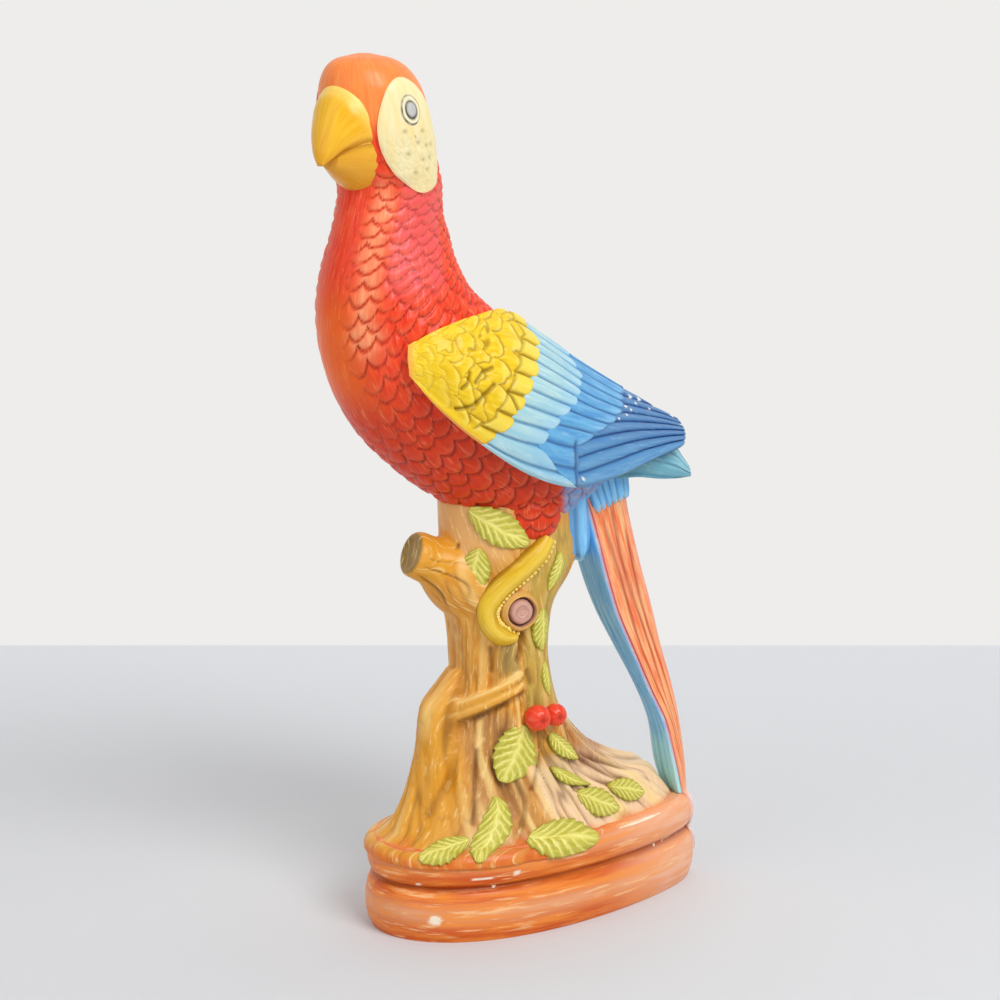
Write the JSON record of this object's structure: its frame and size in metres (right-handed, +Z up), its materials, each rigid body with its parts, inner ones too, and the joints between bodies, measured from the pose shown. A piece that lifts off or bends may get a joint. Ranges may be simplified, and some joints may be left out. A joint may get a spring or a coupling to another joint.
{
  "type": "ceramic parrot figurine",
  "caption": "Hand-painted hollow ceramic macaw figurine perched on a leafy tree stump, with a long tail that reaches a rounded two-tier oval plinth.",
  "frame": {"origin": "centre of the figurine's plan box, on the plane its foot rests on", "axes": "+Z up the figurine, -Y the way the bird's breast faces, +X the bird's left"},
  "size_m": [0.0896, 0.1932, 0.3812],
  "materials": {
    "plinth_glaze": "semi-gloss orange-brown glaze, brushed, with small chips",
    "bark": "semi-gloss ochre paint, wiped dark in the bark grooves",
    "sawn_wood": "semi-gloss brown paint with a pale rim",
    "scarlet": "airbrushed red-orange under a clear semi-gloss coat",
    "beak_yellow": "airbrushed amber yellow under a clear semi-gloss coat",
    "face_cream": "cream paint under a clear semi-gloss coat",
    "eye_grey": "brushed dark grey line paint",
    "wing_yellow": "brushed yellow paint, semi-gloss",
    "light_blue": "airbrushed light blue, semi-gloss",
    "dark_blue": "airbrushed dark blue, semi-gloss",
    "berry_red": "brushed bright red paint, semi-gloss",
    "leaf_green": "brushed yellow-green paint, semi-gloss"
  },
  "bodies": {
    "root": {"base_plinth": "plinth_glaze", "tree_stump": "bark", "front_branch_stub": "bark", "front_root": "bark", "side_twig": "bark", "berry_stem": "bark", "perch_knot_left": "sawn_wood", "perch_knot_right": "sawn_wood", "thigh_left": "scarlet", "thigh_right": "scarlet", "body_shell": "scarlet", "tail_feather_left": "scarlet", "tail_feather_right": "scarlet", "foot_left": "beak_yellow", "foot_right": "beak_yellow", "upper_beak": "beak_yellow", "lower_beak": "beak_yellow", "face_patch_left": "face_cream", "face_patch_right": "face_cream", "eye_left": "eye_grey", "eye_right": "eye_grey", "wing_coverts_left": "wing_yellow", "wing_coverts_right": "wing_yellow", "wing_secondaries_left": "light_blue", "wing_secondaries_right": "light_blue", "crossed_wing_tips": "light_blue", "undertail_coverts": "light_blue", "uppertail_coverts": "light_blue", "tail_core": "light_blue", "flight_feathers_left": "dark_blue", "flight_feathers_right": "dark_blue", "berry_1": "berry_red", "berry_2": "berry_red", "leaf_under_belly": "leaf_green", "leaf_beside_stub": "leaf_green", "leaf_behind_foot": "leaf_green", "leaf_behind_knot": "leaf_green", "leaf_at_waist": "leaf_green", "leaf_under_berries": "leaf_green", "leaf_behind_berries": "leaf_green", "leaf_on_mound": "leaf_green", "leaf_low_1": "leaf_green", "leaf_low_2": "leaf_green", "leaf_low_3": "leaf_green", "leaf_low_4": "leaf_green", "leaf_low_5": "leaf_green", "leaf_far_belly": "leaf_green", "leaf_far_knot": "leaf_green", "leaf_far_side": "leaf_green", "leaf_far_low": "leaf_green"}
  },
  "joints": []
}
